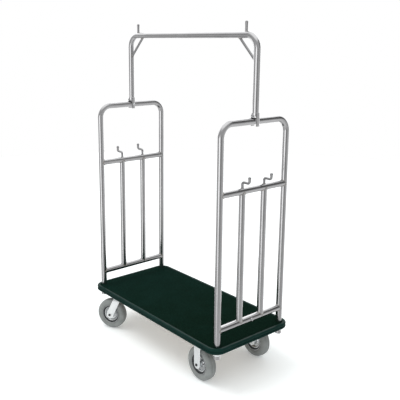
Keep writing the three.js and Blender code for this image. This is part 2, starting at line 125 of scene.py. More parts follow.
# ---- mesh shapes
class Shape:
    """Patches of quads with a grain map: metres across and metres along the surface."""

    def __init__(self):
        self.points = []
        self.faces = []
        self.grain = []

    def patch(self, rows, around=True):
        rows = np.asarray(rows, float)
        count, width = rows.shape[:2]
        start = len(self.points)
        self.points.extend(rows.reshape(-1, 3))
        along = np.concatenate(([0], np.cumsum(np.linalg.norm(np.diff(rows, axis=0), axis=2).mean(1))))
        ring = np.concatenate((rows, rows[:, :1]), 1) if around else rows
        across = np.concatenate(([0], np.cumsum(np.linalg.norm(np.diff(ring, axis=1), axis=2).max(0))))
        for i in range(count - 1):
            for j in range(width if around else width - 1):
                k = (j + 1) % width
                a = start + i * width
                b = a + width
                self.faces.append((a + j, a + k, b + k, b + j))
                low, high = along[i], along[i + 1]
                left, right = across[j], across[j + 1]
                self.grain.extend(((left, low), (right, low), (right, high), (left, high)))
        return self

    def cap(self, row):
        row = np.asarray(row, float)
        start = len(self.points)
        self.points.extend(row)
        self.faces.append(tuple(range(start, start + len(row))))
        centre = row.mean(0)
        for point in row:
            self.grain.append(tuple((point - centre)[:2]))
        return self

    def solid(self, rows):
        """A closed body from rings in order, with a flat cap on each end."""
        return self.patch(rows).cap(rows[0]).cap(rows[-1])

    def join(self, other, matrix=None):
        start = len(self.points)
        points = np.array(other.points)
        if matrix is not None:
            turn = np.array(matrix)
            points = points @ turn[:3, :3].T + turn[:3, 3]
        self.points.extend(points)
        self.faces.extend(tuple(start + i for i in face) for face in other.faces)
        self.grain.extend(other.grain)
        return self

    def mesh(self, name, sharp=38):
        mesh = bpy.data.meshes.new(name)
        mesh.from_pydata([tuple(p) for p in self.points], [], self.faces)
        grain = mesh.uv_layers.new(name="grain")
        grain.data.foreach_set("uv", np.array(self.grain, np.float32).ravel())
        work = bmesh.new()
        work.from_mesh(mesh)
        bmesh.ops.remove_doubles(work, verts=work.verts, dist=1e-6)
        bmesh.ops.dissolve_degenerate(work, edges=work.edges, dist=1e-7)
        bmesh.ops.recalc_face_normals(work, faces=work.faces)
        work.to_mesh(mesh)
        work.free()
        mesh.shade_smooth()
        mesh.set_sharp_from_angle(angle=math.radians(sharp))
        return mesh


def thing(name, mesh, material, matrix=None):
    made = bpy.data.objects.new(name, mesh)
    bpy.context.scene.collection.objects.link(made)
    if matrix is not None:
        mesh.transform(matrix)
    made.data.materials.clear()
    made.data.materials.append(material)
    return made


def add(name, shape, material, body, nodes=(), matrix=None, sharp=38):
    mesh = shape.mesh(name, sharp) if isinstance(shape, Shape) else shape
    made = thing(name, mesh, material, matrix)
    flat = made.modifiers.new("flat faces stay flat", "WEIGHTED_NORMAL")
    flat.keep_sharp = True
    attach(made, body)
    if nodes:
        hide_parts(*nodes)
    return made


def carve(mesh, *cutters):
    """The mesh with the cutters' meshes taken away."""
    target = bpy.data.objects.new("carving", mesh)
    bpy.context.scene.collection.objects.link(target)
    tools = []
    for cutter in cutters:
        tool = bpy.data.objects.new("cutter", cutter)
        bpy.context.scene.collection.objects.link(tool)
        change = target.modifiers.new("carve", "BOOLEAN")
        change.operation = "DIFFERENCE"
        change.solver = "EXACT"
        change.object = tool
        tools.append(tool)
    bpy.context.view_layer.update()
    made = bpy.data.meshes.new_from_object(target.evaluated_get(bpy.context.evaluated_depsgraph_get()))
    for tool in (target, *tools):
        bpy.data.objects.remove(tool)
    made.shade_smooth()
    made.set_sharp_from_angle(angle=math.radians(35))
    return made


def soften(points, radius, steps=4, closed=False):
    """A polyline with its corners rounded."""
    points = [np.array(p, float) for p in points]
    count = len(points)
    made = []
    for i, corner in enumerate(points):
        if not closed and i in (0, count - 1):
            made.append(corner)
            continue
        before, after = points[i - 1], points[(i + 1) % count]
        into, out = corner - before, after - corner
        reach = min(radius, 0.48 * np.linalg.norm(into), 0.48 * np.linalg.norm(out))
        start, end = corner - unit(into) * reach, corner + unit(out) * reach
        for step in range(steps + 1):
            t = step / steps
            made.append((1 - t) ** 2 * start + 2 * t * (1 - t) * corner + t * t * end)
    return made


def lathe(profile, sides=WHEEL_SIDES, notch=None):
    """Rings about Z from (radius, height) points. notch(radius, height, angle) may alter a radius."""
    rows = []
    angles = [TURN * i / sides for i in range(sides)]
    for radius, height in profile:
        row = []
        for angle in angles:
            r = notch(radius, height, angle) if notch else radius
            row.append((r * math.cos(angle), r * math.sin(angle), height))
        rows.append(row)
    return rows


def inside(radius, *steps):
    """Profile points, from (millimetres inside the radius, millimetres of height) pairs."""
    return [(radius - depth * MM, height * MM) for depth, height in steps]


def at(*points):
    """Profile points, from (radius, height) pairs in millimetres."""
    return [(r * MM, height * MM) for r, height in points]


def turned(profile, radius, steps, sides, notch=None):
    """A closed, softened profile turned about Z."""
    rows = lathe(soften(profile, radius, steps, closed=True), sides, notch)
    return Shape().patch(rows + rows[:1])


def ring(centre, direction, side, radius, sides):
    up = np.cross(direction, side)
    angles = TURN * np.arange(sides) / sides
    return centre + radius * (np.outer(np.cos(angles), side) + np.outer(np.sin(angles), up))


def route(corners, radius, steps=BEND_STEPS):
    """Stations (point, direction) along straight runs joined by arcs."""
    stations = [(corners[0], unit(corners[1] - corners[0]))]
    for before, corner, after in zip(corners, corners[1:], corners[2:]):
        into, out = unit(corner - before), unit(after - corner)
        angle = math.acos(into @ out)
        side = unit(out - into * (out @ into))
        start = corner - into * radius * math.tan(angle / 2)
        for step in range(steps + 1):
            part = angle * step / steps
            point = start + radius * (math.sin(part) * into + (1 - math.cos(part)) * side)
            stations.append((point, math.cos(part) * into + math.sin(part) * side))
    stations.append((corners[-1], unit(corners[-1] - corners[-2])))
    return stations


def meet(points, direction, main, grow=0.0):
    """How far each point goes along direction to reach the main tube's surface."""
    origin, axis, radius = main
    gap = np.asarray(points) - origin
    gap = gap - np.outer(gap @ axis, axis)
    flat = direction - axis * (direction @ axis)
    a = flat @ flat
    b = gap @ flat
    c = (gap * gap).sum(1) - (radius + grow) ** 2
    return (-b - np.sqrt(np.maximum(b * b - a * c, (0.03 * radius) ** 2))) / a


def tube(stations, radius, wall=TUBE_WALL, side=X, copes=(None, None), sides=TUBE_SIDES):
    """A round tube along the stations. A cope is the tube that an end is shaped to fit."""

    def skin(r):
        rows = [ring(p, t, side, r, sides) for p, t in stations]
        for i, sign in ((0, -1), (-1, 1)):
            main = copes[i]
            if main is not None:
                direction = sign * stations[i][1]
                rows[i] = rows[i] + np.outer(meet(rows[i], direction, main), direction)
        return rows

    outer = skin(radius)
    for i, sign in ((0, 1), (-1, -1)):
        if copes[i] is None:
            point, direction = stations[i]
            lip = ring(point, direction, side, radius - TUBE_LIP, sides)
            inset = ring(point + sign * TUBE_LIP * direction, direction, side, radius, sides)
            outer[i] = inset
            outer.insert(0 if i == 0 else len(outer), lip)
    shape = Shape().patch(outer)
    if wall:
        inner = skin(radius - wall)
        shape.patch(inner[::-1])
        shape.patch([outer[0], inner[0]])
        shape.patch([outer[-1], inner[-1]])
    else:
        shape.cap(outer[0]).cap(outer[-1])
    return shape


def weld(shape, origin, direction, radius, main, bead=WELD_R):
    """A rippled bead where a rod of that radius leaves the main tube."""
    axis = main[1]
    e1 = unit(axis - direction * (axis @ direction))
    e2 = np.cross(direction, e1)
    ripples = int(TURN * radius * 1.25 / WELD_RIPPLE)
    count = ripples * 5
    rise = 0.2 * bead
    angles = TURN * np.arange(count) / count
    radial = np.outer(np.cos(angles), e1) + np.outer(np.sin(angles), e2)
    far = 4 * main[2]
    starts = origin + direction * far + radial * (radius + rise)
    path = starts - np.outer(meet(starts, -direction, main, rise), direction)
    ahead = np.roll(path, -1, 0) - np.roll(path, 1, 0)
    ahead /= np.linalg.norm(ahead, axis=1)[:, None]
    up = np.cross(ahead, radial)
    up /= np.linalg.norm(up, axis=1)[:, None]
    out = np.cross(up, ahead)
    rows = []
    for k in range(WELD_SIDES):
        turn = TURN * k / WELD_SIDES
        swell = bead * (1 + 0.13 * np.abs(np.sin(angles * ripples / 2)))[:, None]
        rows.append(path + swell * (math.cos(turn) * out + math.sin(turn) * up))
    rows.append(rows[0])
    return shape.patch(np.array(rows))


# ---- materials
class Paint:
    """A Principled material and short ways to wire it."""

    def __init__(self, name, **constants):
        self.material = bpy.data.materials.new(name)
        self.material.use_nodes = True
        self.tree = self.material.node_tree
        self.shader = self.tree.nodes["Principled BSDF"]
        for socket, value in constants.items():
            self.shader.inputs[socket.replace("_", " ")].default_value = value
        self.bumped = None

    def node(self, kind, inputs=None, **settings):
        made = self.tree.nodes.new(kind)
        for key, value in settings.items():
            setattr(made, key, value)
        for key, value in (inputs or {}).items():
            if isinstance(value, bpy.types.NodeSocket):
                self.tree.links.new(value, made.inputs[key])
            else:
                made.inputs[key].default_value = value
        return made

    def place(self, stretch=(1, 1, 1), grain=False):
        """Object coordinates, or the grain map, stretched."""
        if grain:
            source = self.node("ShaderNodeUVMap", uv_map="grain").outputs["UV"]
        else:
            source = self.node("ShaderNodeTexCoord").outputs["Object"]
        return self.node("ShaderNodeMapping", {"Vector": source, "Scale": stretch}).outputs["Vector"]

    def noise(self, scale, detail=3.0, rough=0.55, vector=None, distortion=0.0):
        inputs = {"Scale": scale, "Detail": detail, "Roughness": rough, "Distortion": distortion}
        inputs["Vector"] = self.place() if vector is None else vector
        return self.node("ShaderNodeTexNoise", inputs).outputs["Fac"]

    def level(self, value, low, high, to_low=0.0, to_high=1.0):
        inputs = {"Value": value, "From Min": low, "From Max": high, "To Min": to_low, "To Max": to_high}
        return self.node("ShaderNodeMapRange", inputs).outputs["Result"]

    def maths(self, operation, a, b=0.0):
        return self.node("ShaderNodeMath", {0: a, 1: b}, operation=operation).outputs[0]

    def share(self, part, a, b):
        """One value made of part of a and the rest of b."""
        return self.maths("ADD", self.maths("MULTIPLY", a, part), self.maths("MULTIPLY", b, 1 - part))

    def blend(self, factor, low, high):
        """A colour between two others."""
        made = self.node("ShaderNodeMix", {0: factor}, data_type="RGBA")
        for index, value in ((6, low), (7, high)):
            if isinstance(value, bpy.types.NodeSocket):
                self.tree.links.new(value, made.inputs[index])
            else:
                made.inputs[index].default_value = (*value, 1)
        return made.outputs[2]

    def colour(self, value):
        self.tree.links.new(value, self.shader.inputs["Base Color"])

    def tint(self, tone, dark, light, low=0.35, high=0.65):
        self.colour(self.blend(self.level(tone, low, high), dark, light))

    def rough(self, tone, low, high):
        self.tree.links.new(self.level(tone, 0.3, 0.7, low, high), self.shader.inputs["Roughness"])

    def bump(self, height, strength, distance):
        inputs = {"Height": height, "Strength": strength, "Distance": distance}
        if self.bumped is not None:
            inputs["Normal"] = self.bumped
        self.bumped = self.node("ShaderNodeBump", inputs).outputs["Normal"]
        self.tree.links.new(self.bumped, self.shader.inputs["Normal"])


def satin_stainless(name, dark, light):
    paint = Paint(name, Metallic=1.0)
    grain = paint.place((900, 14, 1), grain=True)
    streaks = paint.noise(1.0, 4, 0.6, grain)
    smudges = paint.noise(7.0, 3, 0.6)
    tone = paint.share(0.35, streaks, smudges)
    paint.tint(tone, dark, light)
    paint.rough(tone, 0.15, 0.23)
    paint.bump(streaks, 0.12, 0.00012)
    return paint.material


def weld_metal():
    paint = Paint("weld_metal", Metallic=1.0)
    scale = paint.noise(320, 3, 0.6)
    heat = paint.noise(38, 2, 0.5)
    paint.tint(heat, (0.52, 0.51, 0.49), (0.42, 0.38, 0.33), 0.4, 0.62)
    paint.rough(scale, 0.30, 0.46)
    paint.bump(scale, 0.3, 0.00025)
    return paint.material


def zinc(name, metal, dark, light, low, high):
    paint = Paint(name, Metallic=metal)
    spangle = paint.noise(90, 4, 0.65, distortion=0.6)
    cloud = paint.noise(16, 3, 0.55)
    tone = paint.share(0.5, spangle, cloud)
    paint.tint(tone, dark, light)
    paint.rough(tone, low, high)
    paint.bump(spangle, 0.1, 0.0003)
    return paint.material


def dark_fastener():
    paint = Paint("blackened_steel", Metallic=1.0)
    scale = paint.noise(240, 4, 0.65)
    paint.tint(scale, (0.05, 0.052, 0.055), (0.13, 0.13, 0.13))
    paint.rough(scale, 0.32, 0.5)
    paint.bump(scale, 0.2, 0.0002)
    return paint.material


def tyre_rubber(name, dark, light):
    paint = Paint(name, Specular_IOR_Level=0.35)
    fine = paint.noise(420, 4, 0.7)
    cloud = paint.noise(22, 4, 0.6)
    tone = paint.share(0.35, fine, cloud)
    paint.tint(tone, dark, light)
    paint.rough(tone, 0.62, 0.82)
    paint.bump(fine, 0.25, 0.0004)
    return paint.material


def bumper_rubber():
    paint = Paint("green_bumper_rubber", Specular_IOR_Level=0.08)
    paint.shader.inputs["Specular Tint"].default_value = (0.30, 0.80, 0.70, 1)
    lines = paint.noise(1.0, 3, 0.6, paint.place((1400, 9, 1), grain=True))
    cloud = paint.noise(12, 4, 0.6)
    scuffs = paint.noise(60, 6, 0.75, distortion=1.2)
    base = paint.blend(paint.level(cloud, 0.35, 0.65), (0.0040, 0.0185, 0.0150), (0.0075, 0.0270, 0.0225))
    paint.colour(paint.blend(paint.level(scuffs, 0.66, 0.78, 0, 0.5), base, (0.012, 0.046, 0.038)))
    paint.rough(cloud, 0.38, 0.52)
    paint.bump(lines, 0.12, 0.0003)
    paint.bump(scuffs, 0.06, 0.0006)
    return paint.material


def carpet_pile():
    paint = Paint("green_carpet_pile", Specular_IOR_Level=0.015, Roughness=0.95)
    paint.shader.inputs["Sheen Weight"].default_value = 0.010
    paint.shader.inputs["Sheen Roughness"].default_value = 0.45
    paint.shader.inputs["Sheen Tint"].default_value = (0.25, 0.62, 0.55, 1)
    tufts = paint.noise(150, 3, 0.75)
    fibres = paint.noise(1900, 3, 0.7)
    nap = paint.noise(9, 4, 0.6, distortion=0.5)
    tone = paint.share(0.55, tufts, fibres)
    # Painted light and shade: the pile blends from the darker to the lighter colour by random nap noise plus
    # a gradient along X, which paints light towards the left end and shade towards the right-hand end.
    dark_nap_and_painted_shade = paint.blend(paint.level(tone, 0.36, 0.64), (0.0001, 0.0022, 0.0008), (0.0052, 0.0205, 0.0130))
    light_nap_and_painted_light = paint.blend(paint.level(tone, 0.36, 0.64), (0.0005, 0.0060, 0.0035), (0.0082, 0.0290, 0.0225))
    where = paint.node("ShaderNodeSeparateXYZ", {"Vector": paint.place()}).outputs["X"]
    painted_light_toward_left = paint.level(where, 0.55, -0.55, -0.25, 0.55)
    paint.colour(paint.blend(paint.level(paint.maths("ADD", nap, painted_light_toward_left), 0.35, 1.05), dark_nap_and_painted_shade, light_nap_and_painted_light))
    paint.bump(tufts, 0.8, 0.0020)
    paint.bump(fibres, 0.5, 0.0006)
    return paint.material


def plywood():
    paint = Paint("sealed_plywood", Specular_IOR_Level=0.3)
    figure = paint.noise(1.0, 5, 0.6, paint.place((3.5, 26, 60)), distortion=0.8)
    pores = paint.noise(1.0, 3, 0.7, paint.place((40, 900, 900)))
    base = paint.blend(paint.level(figure, 0.35, 0.65), (0.20, 0.150, 0.100), (0.33, 0.265, 0.190))
    paint.colour(paint.blend(paint.level(pores, 0.55, 0.72, 0, 0.6), base, (0.14, 0.08, 0.04)))
    paint.rough(figure, 0.48, 0.66)
    paint.bump(pores, 0.2, 0.0004)
    return paint.material


STAINLESS = satin_stainless("satin_stainless", (0.59, 0.59, 0.597), (0.69, 0.69, 0.70))
# Painted shade: the hook, gusset and peg rods use a darker copy of the same satin stainless, so they look
# shaded.
SHADED_ROD_STAINLESS = satin_stainless("rod_stainless_painted_shade", (0.40, 0.40, 0.405), (0.50, 0.50, 0.51))
WELD = weld_metal()
ZINC = zinc("bright_zinc", 0.55, (0.86, 0.90, 0.91), (0.96, 0.98, 0.98), 0.34, 0.50)
RIM_ZINC = zinc("rim_zinc", 1.0, (0.66, 0.69, 0.70), (0.82, 0.84, 0.85), 0.20, 0.33)
DARK_STEEL = dark_fastener()
TYRE = tyre_rubber("grey_tyre_rubber", (0.195, 0.208, 0.203), (0.272, 0.286, 0.281))
# Painted shade: a nearly black rubber for the sheet inside the rim flanges, which paints the shade in the
# rim's recess.
PAINTED_SHADE_FLAP = tyre_rubber("painted_shade_flap_rubber", (0.022, 0.026, 0.027), (0.045, 0.050, 0.052))
BUMPER = bumper_rubber()
CARPET = carpet_pile()
PLYWOOD = plywood()


# ---- end hoops
class End:
    """The places of one end's tubes, from the frame."""

    def __init__(self, name, sign):
        low, high = box(f"{name}_hoop")
        self.name = name
        self.sign = sign
        self.x = (low[0] + high[0]) / 2
        self.r = (high[0] - low[0]) / 2
        self.post_y = high[1] - self.r
        self.top = high[2] - self.r
        self.foot = low[2]
        self.upper = middle(f"{name}_upper_crossbar")[2]
        self.lower = middle(f"{name}_lower_crossbar")[2]
        self.slat_y = middle(f"{name}_slat_back")[1]

    def bar(self, height):
        """A crossbar as the tube that others meet."""
        return vec(self.x, 0, height), Y, self.r

    def post(self, side):
        return vec(self.x, side * self.post_y, 0), Z, self.r


def add_hoop(end):
    corners = [
        vec(end.x, -end.post_y, end.foot),
        vec(end.x, -end.post_y, end.top),
        vec(end.x, end.post_y, end.top),
        vec(end.x, end.post_y, end.foot),
    ]
    shape = tube(route(corners, TUBE_BEND_R), end.r)
    add(f"{end.name}_hoop_tube", shape, STAINLESS, "cart", [f"{end.name}_hoop"])


def straight(start, finish, radius, copes, side=X):
    """A tube that is coped to the tubes it runs between."""
    direction = unit(finish - start)
    clear = 2.2 * radius
    stations = [(start + clear * direction, direction), (finish - clear * direction, direction)]
    rows = [stations[0], stations[0], stations[1], stations[1]]
    return tube(rows, radius, side=side, copes=copes)


def add_beads(name, *joints):
    """Weld beads as one piece. Each joint is what weld() takes after the shape."""
    beads = Shape()
    for joint in joints:
        weld(beads, *joint)
    add(name, beads, WELD, "cart", sharp=180)


def add_welded(name, start, finish, radius, copes):
    """A straight tube and the weld bead at each of its ends."""
    shape = straight(start, finish, radius, copes)
    add(f"{name}_tube", shape, STAINLESS, "cart", [name])
    direction = unit(finish - start)
    add_beads(f"{name}_welds", (start, direction, radius, copes[0]), (finish, -direction, radius, copes[1]))


def add_crossbars(end):
    for level, height in (("upper", end.upper), ("lower", end.lower)):
        start, finish = vec(end.x, -end.post_y, height), vec(end.x, end.post_y, height)
        add_welded(f"{end.name}_{level}_crossbar", start, finish, end.r, (end.post(-1), end.post(1)))


def add_slats(end):
    for side_name, side in SIDES.items():
        y = side * end.slat_y
        start, finish = vec(end.x, y, end.lower), vec(end.x, y, end.upper)
        copes = (end.bar(end.lower), end.bar(end.upper))
        add_welded(f"{end.name}_slat_{side_name}", start, finish, end.r, copes)


def ball_ended(stations, radius, ball_r, side, sides=ROD_SIDES):
    """A rod whose last station is the middle of a ball."""
    rows = [ring(p, t, side, radius, sides) for p, t in stations[:-1]]
    centre, direction = stations[-1]
    neck = math.asin(radius / ball_r)
    for step in range(BALL_STEPS + 1):
        angle = (math.pi - neck) * (1 - step / BALL_STEPS)
        point = centre + direction * ball_r * math.cos(angle)
        rows.append(ring(point, direction, side, max(ball_r * math.sin(angle), 1e-6), sides))
    return Shape().solid(rows)


def add_hooks(end):
    for side_name in SIDES:
        name = f"{end.name}_coat_hook_{side_name}"
        low, high = box(name)
        y = (low[1] + high[1]) / 2
        ball_r = (high[1] - low[1]) / 2
        tip_x = (high[0] if end.sign > 0 else low[0]) - end.sign * ball_r
        tip_z = high[2] - ball_r
        arm_z = tip_z - HOOK_RISE
        corners = [vec(end.x, y, end.upper + 0.7 * end.r), vec(end.x, y, arm_z)]
        corners += [vec(tip_x, y, arm_z), vec(tip_x, y, tip_z)]
        stations = route(corners, HOOK_BEND_R, 12)
        shape = ball_ended(stations, HOOK_ROD_R, ball_r, Y)
        add(f"{name}_rod", shape, SHADED_ROD_STAINLESS, "cart", [name], sharp=60)
        add_beads(f"{name}_weld", (vec(end.x, y, end.upper), Z, HOOK_ROD_R, end.bar(end.upper), ROD_WELD_R))


def add_button(end):
    name = f"{end.name}_crossbar_button"
    low, high = box(name)
    radius = (high[2] - low[2]) / 2
    centre = (low + high) / 2
    face = high[0] if end.sign > 0 else low[0]
    reach = abs(face - end.x)
    profile = [(radius, 0.6 * end.r), (radius, reach - 3.2 * MM), (radius - 1.2 * MM, reach - 1.4 * MM)]
    profile += [(0.55 * radius, reach - 0.3 * MM), (0.0, reach)]
    rows = lathe(soften(profile, 1.6 * MM, 6), 64)
    shape = Shape().patch(rows).cap(rows[0])
    turn = spin(end.sign * math.pi / 2, "Y")
    matrix = shift(end.x, centre[1], centre[2]) @ turn
    add(f"{name}_plug", shape, STAINLESS, "cart", [name], matrix, sharp=50)


# ---- hanging rail
rail_low, rail_high = box("hanging_rail")
RAIL_R = (rail_high[1] - rail_low[1]) / 2
RAIL_Z = rail_high[2] - RAIL_R
RAIL_X = rail_high[0] - RAIL_R
RAIL_TUBE = (vec(0, 0, RAIL_Z), X, RAIL_R)


def add_rail():
    foot = rail_low[2]
    corners = [vec(-RAIL_X, 0, foot), vec(-RAIL_X, 0, RAIL_Z), vec(RAIL_X, 0, RAIL_Z), vec(RAIL_X, 0, foot)]
    shape = tube(route(corners, TUBE_BEND_R), RAIL_R, side=Y)
    add("hanging_rail_tube", shape, STAINLESS, "cart", ["hanging_rail"])


def add_gusset(end):
    name = f"{end.name}_gusset"
    low, high = box(name)
    leg = (vec(end.sign * RAIL_X, 0, 0), Z, RAIL_R)
    on_rail = vec(end.sign * (RAIL_X - GUSSET_REACH), 0, RAIL_Z)
    on_leg = vec(end.sign * RAIL_X, 0, RAIL_Z - GUSSET_REACH)
    direction = unit(on_leg - on_rail)
    radius = (high[1] - low[1]) / 2
    clear = 3 * RAIL_R
    rows = [(on_rail + clear * direction, direction)] * 2 + [(on_leg - clear * direction, direction)] * 2
    shape = tube(rows, radius, 0, Y, (RAIL_TUBE, leg), ROD_SIDES)
    add(f"{name}_rod", shape, SHADED_ROD_STAINLESS, "cart", [name])
    at_rail = (on_rail, direction, radius, RAIL_TUBE, GUSSET_WELD_R)
    add_beads(f"{name}_welds", at_rail, (on_leg, -direction, radius, leg, GUSSET_WELD_R))


def add_peg(end):
    name = f"{end.name}_peg"
    low, high = box(name)
    x = (low[0] + high[0]) / 2
    top = high[2]
    bulb = (high[1] - low[1]) / 2
    rod = HOOK_ROD_R
    profile = [(rod, RAIL_Z + 0.8 * RAIL_R), (rod, top - 3.4 * bulb), (0.93 * bulb, top - 1.9 * bulb)]
    profile += [(bulb, top - bulb)]
    for step in range(1, 9):
        angle = math.pi / 2 * step / 8
        profile.append((bulb * math.cos(angle), top - bulb + bulb * math.sin(angle)))
    rows = lathe(soften(profile[:4], 3 * MM, 5) + [np.array(p) for p in profile[4:]], 48)
    shape = Shape().patch(rows).cap(rows[0])
    matrix = shift(x, 0, 0)
    add(f"{name}_turned", shape, SHADED_ROD_STAINLESS, "cart", [name], matrix, sharp=50)
    add_beads(f"{name}_weld", (vec(x, 0, RAIL_Z), Z, rod, RAIL_TUBE, ROD_WELD_R))


def add_saddle(end):
    name = f"{end.name}_saddle"
    low, high = box(name)
    outer = (high[1] - low[1]) / 2
    inner = end.r + 0.15 * MM
    lip = 0.7 * MM
    profile = [(inner, low[2]), (outer - lip, low[2]), (outer, low[2] + lip), (outer, high[2] - lip)]
    profile += [(outer - lip, high[2]), (inner + lip, high[2]), (inner, high[2] - lip), (inner, low[2])]
    sleeve = Shape().patch(lathe(profile, 96)).mesh("sleeve")
    deep = 1.6 * outer
    arch = [(-SADDLE_SLOT, low[2] - lip * 2), (SADDLE_SLOT, low[2] - lip * 2)]
    for step in range(ARCH_STEPS + 1):
        angle = math.pi * step / ARCH_STEPS
        arch.append((SADDLE_SLOT * math.cos(angle), SADDLE_ARCH_Z + SADDLE_SLOT * math.sin(angle)))
    cutter = Shape().solid([[(x, y, z) for x, z in arch] for y in (-deep, deep)]).mesh("arch")
    hole_r = 2.7 * MM
    side = -end.sign
    hole = lathe([(hole_r, 0), (hole_r, 2 * outer)], 24)
    hole = np.array([[(side * z, y, x + end.top) for x, y, z in row] for row in hole])
    drill = Shape().solid(hole).mesh("drill")
    mesh = carve(sleeve, cutter, drill)
    matrix = shift(end.x, 0, 0)
    made = add(f"{name}_sleeve", mesh, STAINLESS, "cart", [name], matrix)
    edge = made.modifiers.new("broken edges", "BEVEL")
    edge.width = 0.45 * MM
    edge.segments = 2
    edge.limit_method = "ANGLE"
    edge.angle_limit = math.radians(50)


def add_screw(end):
    """A button-head screw with a hexagon socket, from the platform side."""
    name = f"{end.name}_saddle_screw"
    low, high = box(name)
    head_r = (high[2] - low[2]) / 2
    crown = low[0] if end.sign > 0 else high[0]
    length = high[0] - low[0]
    head = 2.8 * MM
    profile = [(0, 0.0), (2.4 * MM, 0.0), (2.4 * MM, length - head), (head_r, length - head)]
    profile += [(head_r, length - 0.75 * head), (0.72 * head_r, length - 0.18 * head)]
    profile += [(0.5 * head_r, length), (0, length)]
    body = Shape().patch(lathe(soften(profile, 0.6 * MM, 3), 48)).mesh("screw")
    socket = [[(1.75 * MM * math.cos(a), 1.75 * MM * math.sin(a), z) for a in
               [TURN * k / 6 for k in range(6)]] for z in (length - 1.9 * MM, length + 1 * MM)]
    mesh = carve(body, Shape().solid(socket).mesh("socket"))
    turn = spin(-end.sign * math.pi / 2, "Y")
    matrix = shift(crown + end.sign * length, 0, end.top) @ turn
    add(f"{name}_head", mesh, ZINC, "cart", [name], matrix)


def add_collars(end):
    for side_name, side in SIDES.items():
        name = f"{end.name}_post_collar_{side_name}"
        low, high = box(name)
        outer = (high[0] - low[0]) / 2
        inner = end.r + 0.2 * MM
        profile = [(inner, low[2]), (outer, low[2]), (outer, high[2]), (inner, high[2])]
        shape = turned(profile, 1.4 * MM, 3, 72)
        screw = hexagon(4.2 * MM, 2.4 * MM)
        for turn_by in (0.25, 0.75):
            turn = spin(TURN * turn_by) @ spin(math.pi / 2, "Y")
            lift = shift(0, 0, (low[2] + high[2]) / 2)
            shape.join(screw, lift @ turn @ shift(0, 0, outer - 0.9 * MM))
        matrix = shift(end.x, side * end.post_y, 0)
        add(f"{name}_ring", shape, ZINC, "cart", [name], matrix)


# ---- fasteners
def hexagon(apothem, height, bore=0.0):
    """A hexagon head or nut from Z = 0 up, with its top corners chamfered."""
    sides = 72
    angles = [TURN * i / sides for i in range(sides)]
    steps = 6
    rows = []
    for step in range(-1, steps + 1):
        part = max(step, 0) / steps
        z = 0.0 if step < 0 else height * (0.72 + 0.28 * part)
        cone = apothem * (1.16 - 0.24 * part * part)
        row = []
        for angle in angles:
            off = (angle % (TURN / 6)) - TURN / 12
            r = min(apothem / math.cos(off), cone)
            row.append((r * math.cos(angle), r * math.sin(angle), z))
        rows.append(row)
    shape = Shape()
    if bore:
        top = lathe([(bore, height), (bore, 0)], sides)
        return shape.patch(rows + top + rows[:1])
    crown = [(0.80 * apothem, height), (0.74 * apothem, height - 0.3 * MM)]
    return shape.solid(rows + lathe(crown, sides))


def threaded(radius, start, finish, pitch=1.5 * MM):
    """A threaded rod end from start up to finish."""
    profile = [(0, start), (radius, start)]
    z = start
    while z + pitch < finish - 0.6 * MM:
        profile += [(radius, z + 0.15 * pitch), (radius - 0.6 * MM, z + 0.5 * pitch)]
        profile.append((radius, z + 0.85 * pitch))
        z += pitch
    profile += [(radius, finish - 0.8 * MM), (radius - 0.9 * MM, finish), (0, finish)]
    return Shape().patch(lathe(profile, 48))


def washer(inner, outer, bottom, top):
    profile = [(inner, bottom), (outer, bottom), (outer, top), (inner, top)]
    return turned(profile, 0.4 * MM, 2, 64)


# ---- platform
deck_low, deck_high = box("deck_bumper")
carpet_low, carpet_high = box("deck_carpet")
board_low, board_high = box("deck_board")
DECK_X = deck_high[0]
DECK_Y = deck_high[1]


def outline(inset, corner_steps=20):
    """The platform's outline, drawn in by inset, as (point, outward) pairs from the right-hand seam."""
    radius = DECK_CORNER_R - inset
    x, y = DECK_X - DECK_CORNER_R, DECK_Y - DECK_CORNER_R
    made = []
    for quarter, (cx, cy) in enumerate(((x, y), (-x, y), (-x, -y), (x, -y))):
        for step in range(corner_steps + 1):
            angle = math.pi / 2 * (quarter + step / corner_steps)
            outward = vec(math.cos(angle), math.sin(angle), 0)
            made.append((vec(cx, cy, 0) + radius * outward, outward))
    return made


def bumper_profile():
    """(outward from the inner face, height) of the strip: two rounded ribs with a groove between."""
    low, high = deck_low[2], deck_high[2]
    mid = (low + high) / 2
    rib = (high - low) / 4
    belly = BUMPER_THICK - rib * 0.98
    points = [(0, low + 1.2 * MM), (belly * 0.5, low)]
    for centre, start, finish in ((low + rib, -90, 62), (high - rib, -62, 90)):
        for step in range(RIB_STEPS + 1):
            angle = math.radians(start + (finish - start) * step / RIB_STEPS)
            points.append((belly + rib * 0.98 * math.cos(angle), centre + rib * math.sin(angle)))
    points += [(belly * 0.45, high), (0.6 * MM, high - 0.5 * MM), (0, high - 1.6 * MM)]
    groove_at = 2 + RIB_STEPS + 1  # after the two inner points and the lower rib
    points.insert(groove_at, (belly + rib * 0.40, mid))
    return points


def add_bumper():
    loop = outline(BUMPER_THICK)
    seam_half = 0.45 * MM
    slip = 0.5 * MM
    start = (vec(loop[0][0][0], seam_half, 0), X)
    finish = (vec(loop[0][0][0] - slip, -seam_half, 0), X)
    near = 14 * MM
    settle = (vec(loop[0][0][0], -near, 0), X)
    stations = [start, *loop, settle, finish]
    rows = []
    for point, outward in stations:
        rows.append([point + outward * out + Z * z for out, z in bumper_profile()])
    shape = Shape().patch(rows).cap(rows[0]).cap(rows[-1])
    add("deck_bumper_strip", shape, BUMPER, "cart", ["deck_bumper"], sharp=40)


def add_board():
    rows = []
    lip = 1.5 * MM
    inset = DECK_X - board_high[0]
    bottom, top = board_low[2], board_high[2]
    for extra, z in ((lip, bottom), (0, bottom + lip), (0, top - lip), (lip, top)):
        rows.append([point + Z * z for point, outward in outline(inset + extra)])
    add("deck_board_panel", Shape().solid(rows), PLYWOOD, "cart", ["deck_board"])


